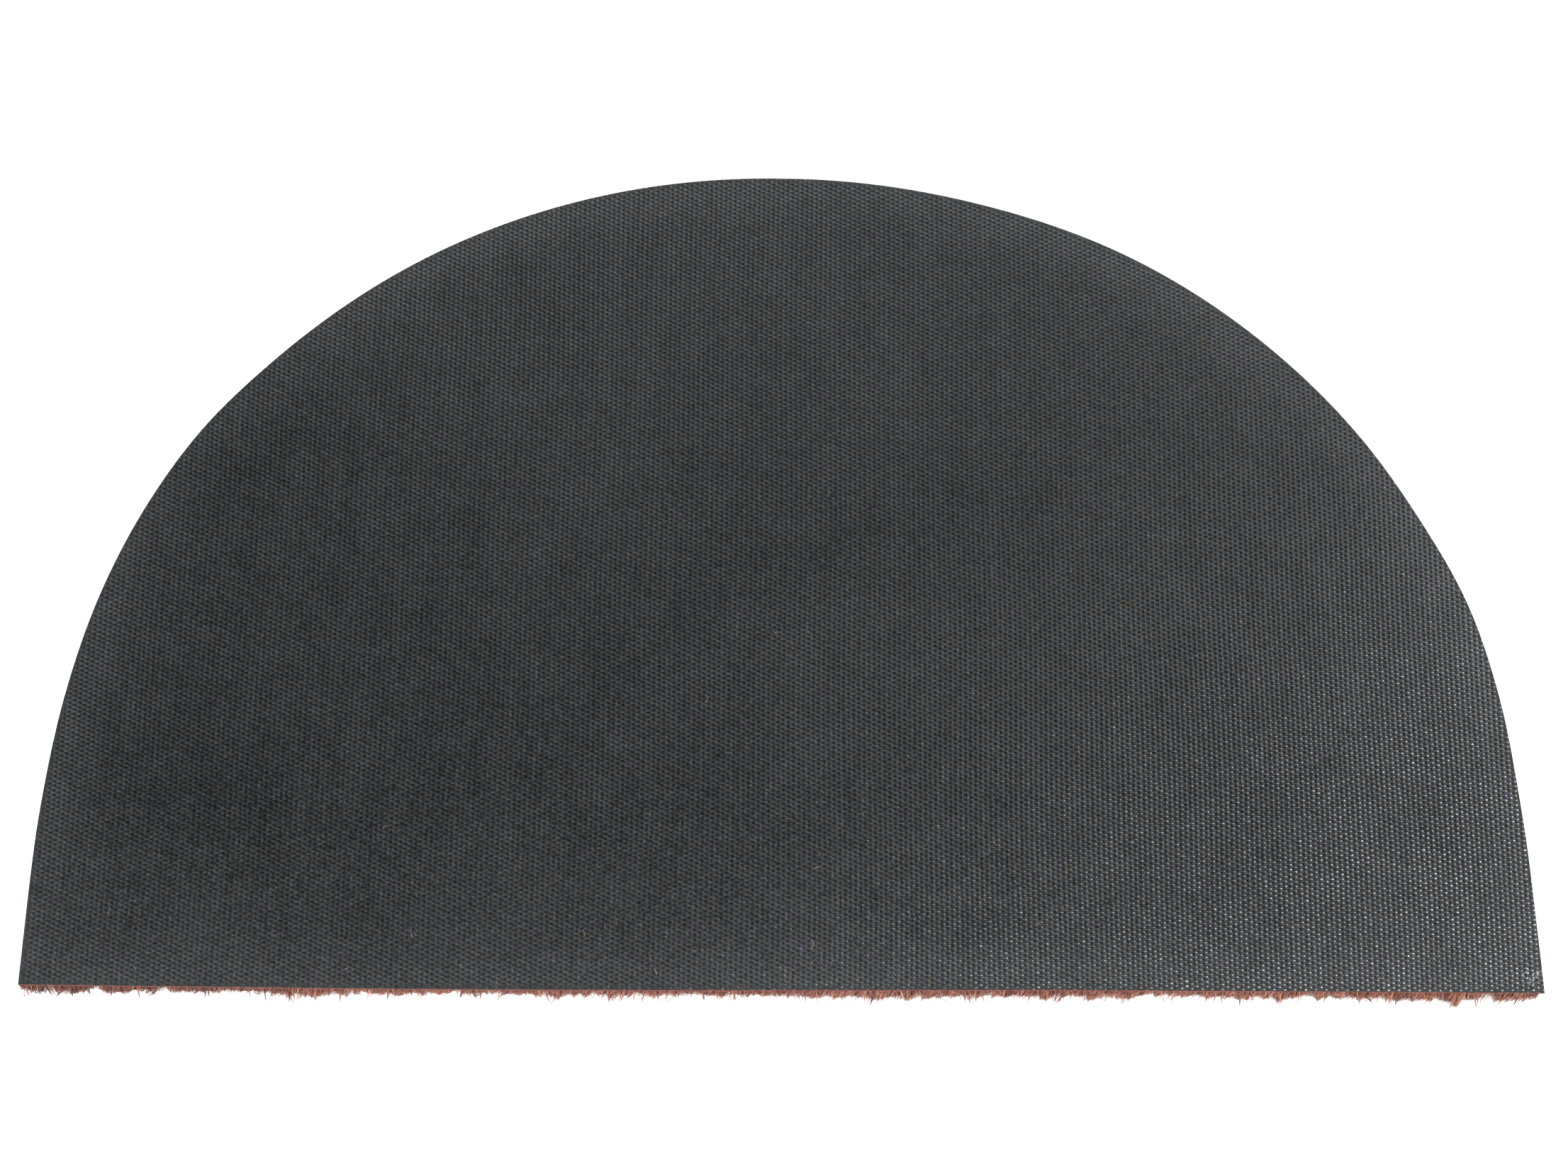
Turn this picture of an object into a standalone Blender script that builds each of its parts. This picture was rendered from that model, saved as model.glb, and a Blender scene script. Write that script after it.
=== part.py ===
"""Half-round coir doormat, lying face down: a cloth-embossed rubber sheet on dyed coir pile.

Metres, +Z up. The straight edge runs along X on the -Y side, and the arc is at +Y. The
pile's tips rest at z = 0, and the origin is under the middle of the mat's bounding box.
Outlines are worked out first with the straight edge at y = 0.
"""

import math
import random
from collections import namedtuple

import bmesh
import bpy
from mathutils import Vector

# Driving dimensions
MAT_WIDTH = 0.750
MAT_DEPTH = 0.450
MAT_HEIGHT = 0.015
BACKING_THICKNESS = 0.002
SEAT_GAP = 0.0003
ARC_RADIUS = MAT_WIDTH / 2
SIDE_RISE = MAT_DEPTH - ARC_RADIUS
CORNER_TURN = -math.degrees(math.atan2(SIDE_RISE, ARC_RADIUS))
PILE_HEIGHT = MAT_HEIGHT - BACKING_THICKNESS - SEAT_GAP
MM = 0.001

# Steps along the outlines
BACKING_EDGE_STEP = 0.025
BACKING_TURN_STEP = 1.0
PILE_EDGE_STEP = 0.0025
PILE_TURN_STEP = 0.75
PILE_FIRST_TURN = CORNER_TURN + 0.9
FACING_SPAN = 0.5
CORNER_FAN = 4

# How far inside the true half round the sheet was cut, in millimetres, on each side.
# The turn is in degrees above the direction of the straight edge, at the arc's centre.
Trim = namedtuple("Trim", "turn left right")
TRIMS = [
    Trim(turn=CORNER_TURN, left=0.0, right=0.2),
    Trim(turn=-3, left=2.0, right=3.1),
    Trim(turn=5, left=4.5, right=5.8),
    Trim(turn=13, left=4.1, right=4.6),
    Trim(turn=21, left=2.0, right=2.7),
    Trim(turn=29, left=-0.3, right=3.1),
    Trim(turn=37, left=-2.1, right=1.7),
    Trim(turn=45, left=-1.7, right=0.7),
    Trim(turn=61, left=-2.7, right=-0.7),
    Trim(turn=75, left=-2.0, right=0.5),
    Trim(turn=90, left=0.0, right=0.0),
]

# How far the straight edge bows out, in millimetres, at distances from its middle
Bow = namedtuple("Bow", "at out")
BOWS = [
    Bow(at=-375, out=0.0),
    Bow(at=-290, out=0.5),
    Bow(at=-205, out=1.0),
    Bow(at=-75, out=1.1),
    Bow(at=35, out=0.5),
    Bow(at=120, out=-0.1),
    Bow(at=300, out=-0.2),
    Bow(at=375, out=0.0),
]

# How far the pile's tips stand proud of the straight edge, in millimetres
Fringe = namedtuple("Fringe", "at out")
FRINGES = [
    Fringe(at=-375, out=-0.6),
    Fringe(at=-300, out=-1.1),
    Fringe(at=-262, out=-1.4),
    Fringe(at=-237, out=0.3),
    Fringe(at=-212, out=-1.0),
    Fringe(at=-162, out=-1.5),
    Fringe(at=-112, out=-0.9),
    Fringe(at=-37, out=-1.6),
    Fringe(at=12, out=-0.5),
    Fringe(at=62, out=0.2),
    Fringe(at=100, out=-0.5),
    Fringe(at=150, out=0.3),
    Fringe(at=187, out=-1.3),
    Fringe(at=212, out=-0.4),
    Fringe(at=285, out=-0.2),
    Fringe(at=312, out=0.4),
    Fringe(at=337, out=-0.1),
    Fringe(at=375, out=-1.0),
]

# Bundles of coir that splay past their neighbours under the straight edge, in millimetres
Lock = namedtuple("Lock", "at width out")
LOCKS = [
    Lock(at=-354, width=9, out=2.6),
    Lock(at=-333, width=6, out=1.4),
    Lock(at=-312, width=6, out=1.4),
    Lock(at=-245, width=8, out=0.6),
    Lock(at=-230, width=9, out=1.6),
    Lock(at=-113, width=9, out=1.6),
    Lock(at=8, width=8, out=1.4),
    Lock(at=47, width=8, out=0.9),
    Lock(at=60, width=8, out=0.8),
    Lock(at=129, width=8, out=0.9),
    Lock(at=155, width=8, out=1.1),
    Lock(at=168, width=9, out=2.2),
    Lock(at=246, width=9, out=2.2),
    Lock(at=302, width=9, out=1.5),
    Lock(at=312, width=8, out=1.2),
    Lock(at=331, width=9, out=3.1),
    Lock(at=362, width=7, out=0.8),
]

# Gaps where bundles were cut away under the straight edge, in millimetres
Notch = namedtuple("Notch", "at width deep")
NOTCHES = [
    Notch(at=-337, width=4, deep=4.5),
    Notch(at=-305, width=6, deep=4.5),
    Notch(at=-259, width=5, deep=3.0),
    Notch(at=-165, width=7, deep=3.0),
    Notch(at=-128, width=4, deep=2.8),
    Notch(at=-92, width=4, deep=2.8),
    Notch(at=-75, width=4, deep=2.8),
    Notch(at=-26, width=4, deep=2.8),
    Notch(at=348, width=6, deep=3.0),
]

# The pile's rim: it is rooted a little inside the sheet's edge, and its tips are ragged
ROOT_INSET = 0.0008
ARC_INSET = 0.0012
CORNER_ROUND = 0.003
TUFT_RAGGED = 0.0008
TUFT_SEED = 11
# Each level is a share of the pile's height, with the share of the tips' reach it has
Level = namedtuple("Level", "height reach")
LEVELS = [
    Level(height=0.0, reach=0.9),
    Level(height=0.25, reach=1.0),
    Level(height=0.65, reach=0.5),
    Level(height=1.0, reach=0.0),
]

# A place on the pile's rim: a point inside it, the way out, and in metres how far the tips
# reach past the sheet's edge and how deep a notch cuts in
Station = namedtuple("Station", "anchor out reach notch")

# Finishes: colour, roughness and metallic
BACKING_FINISH = ((0.052, 0.054, 0.057), 0.55, 0.0)
PILE_FINISH = ((0.30, 0.125, 0.085), 0.9, 0.0)
SMOOTH_ANGLE = math.radians(35)


def clear_scene():
    for thing in list(bpy.data.objects):
        bpy.data.objects.remove(thing, do_unlink=True)


def read_off(rows, column, place):
    """Value of a column at a place along the rows' first column, on a smooth curve."""
    last = len(rows) - 1
    step = 0
    while step < last - 1 and rows[step + 1][0] < place:
        step += 1
    before, here, there, after = (
        rows[min(max(index, 0), last)] for index in range(step - 1, step + 3)
    )
    span = there[0] - here[0]
    share = min(max((place - here[0]) / span, 0.0), 1.0)
    low, high = getattr(here, column), getattr(there, column)
    lean_in = (high - getattr(before, column)) / (there[0] - before[0])
    lean_out = (getattr(after, column) - low) / (after[0] - here[0])
    bend = share * share * (3 - 2 * share)
    rise = share * (1 - share) ** 2 * lean_in - share * share * (1 - share) * lean_out
    return low + (high - low) * bend + rise * span


def straight_edge(along):
    """Point of the sheet's straight edge."""
    return Vector((along, -read_off(BOWS, "out", along / MM) * MM))


def round_edge(turn, side):
    """Point of the sheet's side or arc, at a turn in degrees."""
    slope = math.radians(turn)
    reach = ARC_RADIUS / math.cos(slope) if turn < 0 else ARC_RADIUS
    reach -= read_off(TRIMS, side, turn) * MM
    sign = 1 if side == "right" else -1
    return Vector((sign * reach * math.cos(slope), SIDE_RISE + reach * math.sin(slope)))


def turns(step):
    """Turns in degrees from the corner to the top of the arc, about a step apart."""
    count = round((90 - CORNER_TURN) / step)
    return [CORNER_TURN + (90 - CORNER_TURN) * index / count for index in range(count + 1)]


def backing_outline():
    """The sheet's outline, counterclockwise from the left corner."""
    count = round(MAT_WIDTH / BACKING_EDGE_STEP)
    edge = [straight_edge(MAT_WIDTH * (index / count - 0.5)) for index in range(1, count)]
    climb = turns(BACKING_TURN_STEP)
    right = [round_edge(turn, "right") for turn in climb]
    left = [round_edge(turn, "left") for turn in reversed(climb[:-1])]
    return edge + right + left


def front_reach(along):
    """How far the pile's tips stand proud of the straight edge at a distance along it."""
    place = along / MM
    out = read_off(FRINGES, "out", place)
    for lock in LOCKS:
        off = abs(place - lock.at) / (lock.width / 2)
        out += lock.out * max(0.0, 1 - off * off)
    return out * MM


def notch_depth(along):
    """How deep the pile is cut back at a distance along the straight edge."""
    place = along / MM
    depths = [
        notch.deep * max(0.0, 1 - (abs(place - notch.at) / (notch.width / 2)) ** 4)
        for notch in NOTCHES
    ]
    return max(depths) * MM


def front_stations():
    """Places along the pile's rim under the straight edge, from left to right."""
    half = MAT_WIDTH / 2 - CORNER_ROUND
    count = round(2 * half / PILE_EDGE_STEP)
    out = Vector((0.0, -1.0))
    stations = []
    for index in range(count + 1):
        along = 2 * half * (index / count - 0.5)
        anchor = straight_edge(along) - out * CORNER_ROUND
        stations.append(Station(anchor, out, front_reach(along), notch_depth(along)))
    return stations


def round_stations(side):
    """Places along the pile's rim from a front corner to the top of the arc."""
    sign = 1 if side == "right" else -1
    stations = []
    for turn in turns(PILE_TURN_STEP):
        if turn < PILE_FIRST_TURN:
            continue
        before = round_edge(turn - FACING_SPAN, side)
        along = (round_edge(turn + FACING_SPAN, side) - before).normalized()
        out = Vector((along.y, -along.x)) * sign
        anchor = round_edge(turn, side) - out * CORNER_ROUND
        stations.append(Station(anchor, out, -ARC_INSET, 0.0))
    return stations


def corner_stations(last, first):
    """Places that turn the pile's rim round a front corner, between two others."""
    start = math.atan2(last.out.y, last.out.x)
    sweep = (math.atan2(first.out.y, first.out.x) - start) % math.tau
    stations = []
    for index in range(1, CORNER_FAN):
        share = index / CORNER_FAN
        turn = start + sweep * share
        out = Vector((math.cos(turn), math.sin(turn)))
        reach = last.reach + (first.reach - last.reach) * share
        stations.append(Station(last.anchor.lerp(first.anchor, share), out, reach, 0.0))
    return stations


def pile_stations():
    """Every place round the pile's rim, counterclockwise from the left corner."""
    front, right, left = front_stations(), round_stations("right"), round_stations("left")
    left = list(reversed(left[:-1]))
    right_corner = corner_stations(front[-1], right[0])
    return front + right_corner + right + left + corner_stations(left[-1], front[0])


def rim_spot(station, stray, level):
    """Point of the pile's rim at a level, with its own stray from the even reach."""
    proud = -ROOT_INSET + (station.reach + stray + ROOT_INSET) * level.reach
    if station.notch > 0:
        proud = min(proud, -station.notch)
    spot = station.anchor + station.out * (CORNER_ROUND + proud)
    return Vector((spot.x, spot.y, PILE_HEIGHT * level.height))


def pile_rings():
    """The pile's outline at each level, from its tips up to its roots."""
    stations = pile_stations()
    draw = random.Random(TUFT_SEED)
    strays = [draw.uniform(-TUFT_RAGGED, TUFT_RAGGED) for _ in stations]
    return [
        [rim_spot(station, stray, level) for station, stray in zip(stations, strays)]
        for level in LEVELS
    ]


def loft(rings):
    """Closed mesh through rings with the same number of points, from the lowest up."""
    bm = bmesh.new()
    loops = [[bm.verts.new(spot) for spot in ring] for ring in rings]
    count = len(loops[0])
    for low, high in zip(loops, loops[1:]):
        for index in range(count):
            after = (index + 1) % count
            bm.faces.new((low[index], low[after], high[after], high[index]))
    return bm, loops


def cap_with_face(bm, loop, up):
    """Closes a ragged end with one flat face."""
    face = bm.faces.new(loop if up else list(reversed(loop)))
    bmesh.ops.triangulate(bm, faces=[face], ngon_method="BEAUTY")


def cap_with_fan(bm, loop, up):
    """Closes a smooth end with flat triangles round the arc's centre."""
    hub = bm.verts.new((0.0, SIDE_RISE, loop[0].co.z))
    for index, corner in enumerate(loop):
        after = loop[(index + 1) % len(loop)]
        bm.faces.new((corner, after, hub) if up else (after, corner, hub))


def finish(name, bm, look):
    """Turns the mesh into a named object with its own material."""
    mesh = bpy.data.meshes.new(name)
    bm.normal_update()
    bm.to_mesh(mesh)
    bm.free()
    mesh.shade_smooth()
    mesh.set_sharp_from_angle(angle=SMOOTH_ANGLE)
    mesh.materials.append(material(name, look))
    piece = bpy.data.objects.new(name, mesh)
    bpy.context.scene.collection.objects.link(piece)
    return piece


def material(name, look):
    colour, roughness, metallic = look
    made = bpy.data.materials.new(name)
    made.use_nodes = True
    shader = made.node_tree.nodes["Principled BSDF"]
    shader.inputs["Base Color"].default_value = (*colour, 1.0)
    shader.inputs["Roughness"].default_value = roughness
    shader.inputs["Metallic"].default_value = metallic
    return made


def make_backing():
    """The embossed rubber sheet, in one thickness."""
    outline = backing_outline()
    heights = (MAT_HEIGHT - BACKING_THICKNESS, MAT_HEIGHT)
    bm, loops = loft([[Vector((*spot, height)) for spot in outline] for height in heights])
    cap_with_fan(bm, loops[0], up=False)
    cap_with_fan(bm, loops[-1], up=True)
    return finish("backing", bm, BACKING_FINISH)


def make_pile():
    """The coir pile as one slab, flat on the floor, with a ragged rim."""
    bm, loops = loft(pile_rings())
    cap_with_face(bm, loops[0], up=False)
    cap_with_face(bm, loops[-1], up=True)
    return finish("coir_pile", bm, PILE_FINISH)


def centre_on_origin(pieces):
    """Moves the pieces so that the middle of their bounding box is over the origin."""
    spots = [vertex.co for piece in pieces for vertex in piece.data.vertices]
    for axis in (0, 1):
        low = min(spot[axis] for spot in spots)
        high = max(spot[axis] for spot in spots)
        for piece in pieces:
            piece.location[axis] = -(low + high) / 2


def main():
    clear_scene()
    centre_on_origin([make_backing(), make_pile()])


main()
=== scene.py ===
"""Looks of the half-round coir doormat, lying face down on a pale floor.

The backing sheet has its woven-cloth emboss as relief and in its shading. The pile has a
plain core with coir strands round its rim, and a few loose fibres lie on the sheet.
Everything is in metres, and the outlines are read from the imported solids.
"""

import math
from collections import namedtuple

import bmesh
import bpy
import numpy as np
from mathutils import Matrix, Vector


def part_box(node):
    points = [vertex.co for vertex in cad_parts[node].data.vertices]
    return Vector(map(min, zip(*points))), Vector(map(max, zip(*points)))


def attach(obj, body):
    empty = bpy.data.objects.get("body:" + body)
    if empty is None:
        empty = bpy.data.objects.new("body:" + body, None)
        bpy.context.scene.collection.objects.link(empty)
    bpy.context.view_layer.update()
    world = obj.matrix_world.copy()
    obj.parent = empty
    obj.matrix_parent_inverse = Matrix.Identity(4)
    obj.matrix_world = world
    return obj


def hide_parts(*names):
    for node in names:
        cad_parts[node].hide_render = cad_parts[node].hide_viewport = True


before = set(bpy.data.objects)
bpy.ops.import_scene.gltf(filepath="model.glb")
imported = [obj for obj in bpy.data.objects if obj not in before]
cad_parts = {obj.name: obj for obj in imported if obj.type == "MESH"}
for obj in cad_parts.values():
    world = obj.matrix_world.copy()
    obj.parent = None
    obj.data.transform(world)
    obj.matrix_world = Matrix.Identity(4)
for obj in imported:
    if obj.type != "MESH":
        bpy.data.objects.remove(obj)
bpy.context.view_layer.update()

MM = 0.001
SEED = 5

# The photograph's view, worked out from the spacing of the emboss
PHOTO_WIDTH = 2212
FOCAL_PIXELS = 6397
SENSOR_MM = 36.0
CAMERA_ELEVATION = math.radians(66.8)
CAMERA_TURN = math.radians(0.334)
CAMERA_DISTANCE = 2.311
AIM_ALONG = 0.0002
AIM_UP_FROM_EDGE = 0.2138

# The mat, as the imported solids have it
SHEET_LOW, SHEET_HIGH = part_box("backing")
PILE_LOW, PILE_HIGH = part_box("coir_pile")
MAT_DEPTH = 0.450
SIDE_RISE = 0.075
EDGE_Y = SHEET_HIGH.y - MAT_DEPTH
# The arc's centre, and how far from it the outline begins
HUB = np.array([0.0, EDGE_Y + SIDE_RISE])
HUB_CLEAR = 0.05
# The pile's front lies between the rounded corners and at most this far behind its tips
CORNER_X = SHEET_HIGH.x - 2.8 * MM
FRONT_BAND = 12.0 * MM
# Points of the sheet's outline on its straight edge are at most this far behind its line
EDGE_BAND = 0.3 * MM
# Points closer than this are one point, and heights this alike are one height
DOUBLE_GAP = 0.05 * MM
HEIGHT_SLACK = 0.02 * MM
# The share of the pile's height at which its solid stands out farthest
TIP_LEVEL = 0.25

# Emboss: the negative of a plain weave, with pits and raised dashes in turn along each row
WEAVE_PERIOD = 5.07 * MM
WEAVE_ROW = 1.255 * MM
WEAVE_TURNS = (2 * math.pi / WEAVE_PERIOD, math.pi / WEAVE_ROW)
# Its depth as relief, and the depth of the part that is only shaded
RELIEF_DEPTH = 0.16 * MM
BROAD_DEPTH = 0.02 * MM
# How far the dashes and pits slant and lean, as shares of their main wave
WEAVE_SLANT = -0.03
WEAVE_LEAN = -0.1
# Each pit has its glossy dimple left of its middle and toward the straight edge, in radians
DIMPLE_SHIFT = (-0.6, -0.35)
DIMPLE_DEPTH = 0.08 * MM
DIMPLE_DIFFER = (0.7, 1.25)
# How sharply a dimple's hollow, its gloss and its painted glint end along and across the rows
DIMPLE_SHARPNESS = (2.8, 0.8)
GLOSS_SHARPNESS = (2.8, 2.2)
GLINT_SHARPNESS = (8.0, 8.0)
# The relief keeps this far from the sheet's rim, and the outline is cut into these steps
BORDER_CLEAR = 1.0 * MM
OUTLINE_STEP = 2.5 * MM
# Slow waves in the woven rows: shift in mm, wavelengths in mm along X and Y, and phase
ALONG_WAVES = ((0.30, 310.0, 190.0, 0.4), (0.20, 140.0, -260.0, 2.1))
ACROSS_WAVES = ((0.35, 260.0, 420.0, 1.3), (0.15, -120.0, 150.0, 0.2))


def wave_shift(waves, along, across):
    """Sum of slow waves at places in metres, in metres."""
    total = 0.0
    for shift, length_x, length_y, phase in waves:
        turn = along / (length_x * MM) + across / (length_y * MM)
        total = total + shift * MM * np.sin(2 * math.pi * turn + phase)
    return total


def unique_spots(node, height):
    """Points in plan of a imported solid's vertices at one height."""
    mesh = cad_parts[node].data
    spots = np.empty(len(mesh.vertices) * 3, np.float32)
    mesh.vertices.foreach_get("co", spots)
    spots = spots.reshape(-1, 3)
    spots = spots[np.abs(spots[:, 2] - height) < HEIGHT_SLACK, :2]
    return np.unique(np.round(spots.astype(float), 6), axis=0)


def left_to_right(spots):
    return spots[np.argsort(spots[:, 0])]


def round_order(spots):
    """Counterclockwise order round the arc's centre, from the middle of the straight edge."""
    turn = np.arctan2(spots[:, 1] - HUB[1], spots[:, 0] - HUB[0])
    return spots[np.argsort((turn + math.pi / 2) % (2 * math.pi))]


def without_doubles(ring):
    """A closed ring without points that repeat the one before."""
    return ring[np.hypot(*(ring - np.roll(ring, 1, axis=0)).T) > DOUBLE_GAP]


def sheet_outline():
    """The sheet's outline in plan, counterclockwise."""
    spots = unique_spots("backing", SHEET_HIGH.z)
    far = np.hypot(*(spots - HUB).T) > HUB_CLEAR
    return without_doubles(round_order(spots[far]))


def in_front(spots):
    """Which of the pile's points are under the straight edge."""
    return (np.abs(spots[:, 0]) < CORNER_X) & (spots[:, 1] < PILE_LOW.y + FRONT_BAND)


def pile_ring(share):
    """The pile's outline at a share of its height, from the left front corner."""
    spots = unique_spots("coir_pile", PILE_LOW.z + (PILE_HIGH.z - PILE_LOW.z) * share)
    front = in_front(spots)
    return without_doubles(np.vstack([left_to_right(spots[front]), round_order(spots[~front])]))


def ways_out(ring, blur, step):
    """The way out at each point of a closed ring, smoothed over its neighbours."""
    smooth = sum(np.roll(ring, shift, axis=0) for shift in range(-blur, blur + 1))
    along = np.roll(smooth, -step, axis=0) - np.roll(smooth, step, axis=0)
    along /= np.hypot(*along.T)[:, None]
    return np.column_stack([along[:, 1], -along[:, 0]])


def resampled(ring, step):
    """A closed ring with its corners kept and its long sides cut into steps."""
    points = []
    for here, after in zip(ring, np.roll(ring, -1, axis=0)):
        count = max(1, round(float(np.hypot(*(after - here))) / step))
        points += [here + (after - here) * index / count for index in range(count)]
    return np.array(points)


def edge_distance(points, ring):
    """Distance of each point from a closed ring, positive inside it."""
    nearest = np.full(len(points), np.inf)
    inside = np.zeros(len(points), bool)
    for here, after in zip(ring, np.roll(ring, -1, axis=0)):
        side = after - here
        share = np.clip(((points - here) @ side) / (side @ side), 0, 1)
        off = points - here - share[:, None] * side
        nearest = np.minimum(nearest, (off * off).sum(1))
        crosses = (here[1] > points[:, 1]) != (after[1] > points[:, 1])
        if side[1]:
            reach = here[0] + (points[:, 1] - here[1]) / side[1] * side[0]
            inside ^= crosses & (points[:, 0] < reach)
    return np.where(inside, 1, -1) * np.sqrt(nearest)


def wall_faces(low, high):
    """Upright faces between two closed rings of vertex numbers, and the lower ring's floor."""
    walls = np.stack([low, np.roll(low, -1), np.roll(high, -1), high], axis=-1)
    return walls.tolist() + [low[::-1].tolist()]


def new_piece(name, spots, faces, material, floats=None, vectors=None):
    """A shown mesh with one material and its point attributes."""
    mesh = bpy.data.meshes.new(name)
    mesh.from_pydata(np.asarray(spots).tolist(), [], faces)
    for key, values in (floats or {}).items():
        mesh.attributes.new(key, "FLOAT", "POINT").data.foreach_set("value", values)
    for key, values in (vectors or {}).items():
        made = mesh.attributes.new(key, "FLOAT_VECTOR", "POINT")
        made.data.foreach_set("vector", np.asarray(values).ravel())
    mesh.materials.append(material)
    mesh.shade_smooth()
    piece = bpy.data.objects.new(name, mesh)
    bpy.context.scene.collection.objects.link(piece)
    return piece


# Node trees

class Tree:
    """Short calls for building a material's or a world's nodes."""

    def __init__(self, owner):
        owner.use_nodes = True
        self.nodes, self.links = owner.node_tree.nodes, owner.node_tree.links

    def node(self, kind, inputs=None, **settings):
        made = self.nodes.new(kind)
        for key, value in settings.items():
            setattr(made, key, value)
        for key, value in (inputs or {}).items():
            self.feed(made.inputs[key], value)
        return made

    def feed(self, socket, value):
        if isinstance(value, bpy.types.NodeSocket):
            self.links.new(value, socket)
        else:
            socket.default_value = value

    def math(self, operation, *values, clamp=False):
        made = self.node("ShaderNodeMath", operation=operation, use_clamp=clamp)
        for socket, value in zip(made.inputs, values):
            self.feed(socket, value)
        return made.outputs[0]

    def ramp(self, value, low, high, to_low=0.0, to_high=1.0, smooth=True):
        """Maps a value from one range to another, held at its ends."""
        made = self.node("ShaderNodeMapRange", clamp=True)
        made.interpolation_type = "SMOOTHSTEP" if smooth else "LINEAR"
        for socket, given in zip(made.inputs, (value, low, high, to_low, to_high)):
            self.feed(socket, given)
        return made.outputs["Result"]

    def mix(self, share, one, other, blend="MIX"):
        """Mixes two colours, by the numbers of the node's sockets for colours."""
        made = self.node("ShaderNodeMix", data_type="RGBA", blend_type=blend)
        self.feed(made.inputs[0], share)
        self.feed(made.inputs[6], one)
        self.feed(made.inputs[7], other)
        return made.outputs[2]

    def scaled(self, tint, level):
        inputs = {"Vector": tint, "Scale": level}
        return self.node("ShaderNodeVectorMath", inputs, operation="SCALE").outputs["Vector"]

    def axes(self, vector):
        """A vector's X, Y and Z."""
        return self.node("ShaderNodeSeparateXYZ", {"Vector": vector}).outputs

    def joined(self, along, across, up):
        inputs = {"X": along, "Y": across, "Z": up}
        return self.node("ShaderNodeCombineXYZ", inputs).outputs[0]

    def place(self):
        """The place on a piece, in metres."""
        return self.node("ShaderNodeTexCoord").outputs["Object"]

    def noise(self, where, scale, detail=2.0, roughness=0.5, output="Fac"):
        inputs = {"Vector": where, "Scale": scale, "Detail": detail, "Roughness": roughness}
        return self.node("ShaderNodeTexNoise", inputs).outputs[output]

    def along_way(self, place, way, span, levels=(0.0, 1.0)):
        """A level that changes evenly along one way, between two spots on it."""
        made = self.node("ShaderNodeVectorMath", {0: place, 1: way}, operation="DOT_PRODUCT")
        return self.ramp(made.outputs["Value"], *span, *levels, smooth=False)

    def attribute(self, name, output):
        return self.node("ShaderNodeAttribute", attribute_name=name).outputs[output]

    def bump(self, shader, height, distance, strength=1.0, **more):
        """Gives a shader the fine relief of a height."""
        inputs = {"Strength": strength, "Distance": distance, "Height": height, **more}
        self.feed(shader.inputs["Normal"], self.node("ShaderNodeBump", inputs).outputs["Normal"])


def new_material(name):
    made = bpy.data.materials.new(name)
    tree = Tree(made)
    return made, tree, tree.nodes["Principled BSDF"]


def colour(red, green, blue):
    """Linear colour from one written as 0 to 255 on a screen."""
    parts = [value / 255 for value in (red, green, blue)]
    linear = [p / 12.92 if p <= 0.04045 else ((p + 0.055) / 1.055) ** 2.4 for p in parts]
    return (*linear, 1.0)


COIR_DARK = colour(68, 32, 26)
COIR_MIDDLE = colour(153, 95, 77)
COIR_LIGHT = colour(195, 147, 123)
LOOSE_COLOUR = colour(172, 140, 118)
COIR_SHINE = 0.4
COIR_ROUGHNESS = 0.72
LOOSE_ROUGHNESS = 0.8
CORE_ROUGHNESS = 0.9
# How much of a strand's own shade shows along it, the rest painted shade at root and tip:
# from where and to where, and how much
ROOT_PAINTED_SHADE = (0.0, 0.6, 0.55, 1.0)
TIP_PAINTED_SHADE = (0.7, 1.0, 1.0, 0.45)
# Streaks on the strands, and clumps and fibres in the core
STREAK_SCALE = 3000.0
STREAK_STRENGTH, STREAK_DEPTH = 0.5, 0.05 * MM
CLUMP_SCALE = 320.0
FIBRE_SCALE = 1800.0
FIBRE_LIGHT = (0.5, 0.8, 0.0, 0.5)
FIBRE_DEPTH = 0.6 * MM

# The rubber in its pits, with painted shade, on its raised dashes and on its cut face
PIT_COLOUR_WITH_PAINTED_SHADE = colour(11, 11, 12)
DASH_COLOUR = colour(47, 48, 49)
CUT_COLOUR = colour(46, 46, 48)
CUT_LEVELS = (0.8, 1.3)
# From which to which part of a face's direction it counts as facing that way
FACING_SPAN = (0.4, 0.6)
# Most values of a noise lie between these
NOISE_SPAN = (0.3, 0.7)
# Cut roots of the pile show in the lower part of the straight edge's cut face: how far
# down they start, how much that differs, and where the lighter ones are in the grain
ROOTED_SPAN = (1.7 * MM, 2.1 * MM)
ROOTED_RAGGED = 1.8 * MM
ROOTED_LIGHT = (0.4, 0.6, 0.0, 0.8)
# How light the rubber is before the rest, and where between pit and dash that changes
BASE_LEVEL = 0.68
TONE_SPAN = (0.18, 0.88)
# It is lighter toward the arc, the straight edge, the right and its shoulder, as painted
# light and wear: the way there, from where and to where on it, and by how much
PAINTED_LIGHT_AND_WEAR = (
    ((0.0, 1.0, 0.0), (0.06, 0.19), 0.22),
    ((0.0, -1.0, 0.0), (0.13, 0.20), 0.28),
    ((1.0, 0.0, 0.0), (-0.27, -0.14), 0.17),
    ((1.0, 0.0, 0.0), (-0.12, 0.34), 0.19),
    ((1.0, 0.55, 0.0), (0.15, 0.33), 0.27),
    ((-1.0, -0.3, 0.0), (0.29, 0.40), 0.2),
)
# A dusty rim
RIM_WIDTH = 32.0 * MM
RIM_LIGHT = 0.38
# Blotches, from the size of a hand down to that of a grain
CLOUD_SCALE = 9.0
CLOUD_LIGHT = 0.09
MOTTLE_SCALE = 60.0
MOTTLE_LIGHT = 0.08
GRAIN_SCALE = 2600.0
GRAIN_SPAN = (0.5, 0.8)
GRAIN_LIGHT = 1.1
GRAIN_DEPTH = 0.006 * MM
# Speckles of a millimetre, stronger where the emboss is worn down
SPECKLE_SCALE = 1100.0
SPECKLE_CHANGE = (0.25, 0.75, -0.5, 0.5)
SPECKLE_LIGHT = (0.45, 0.9)
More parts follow.
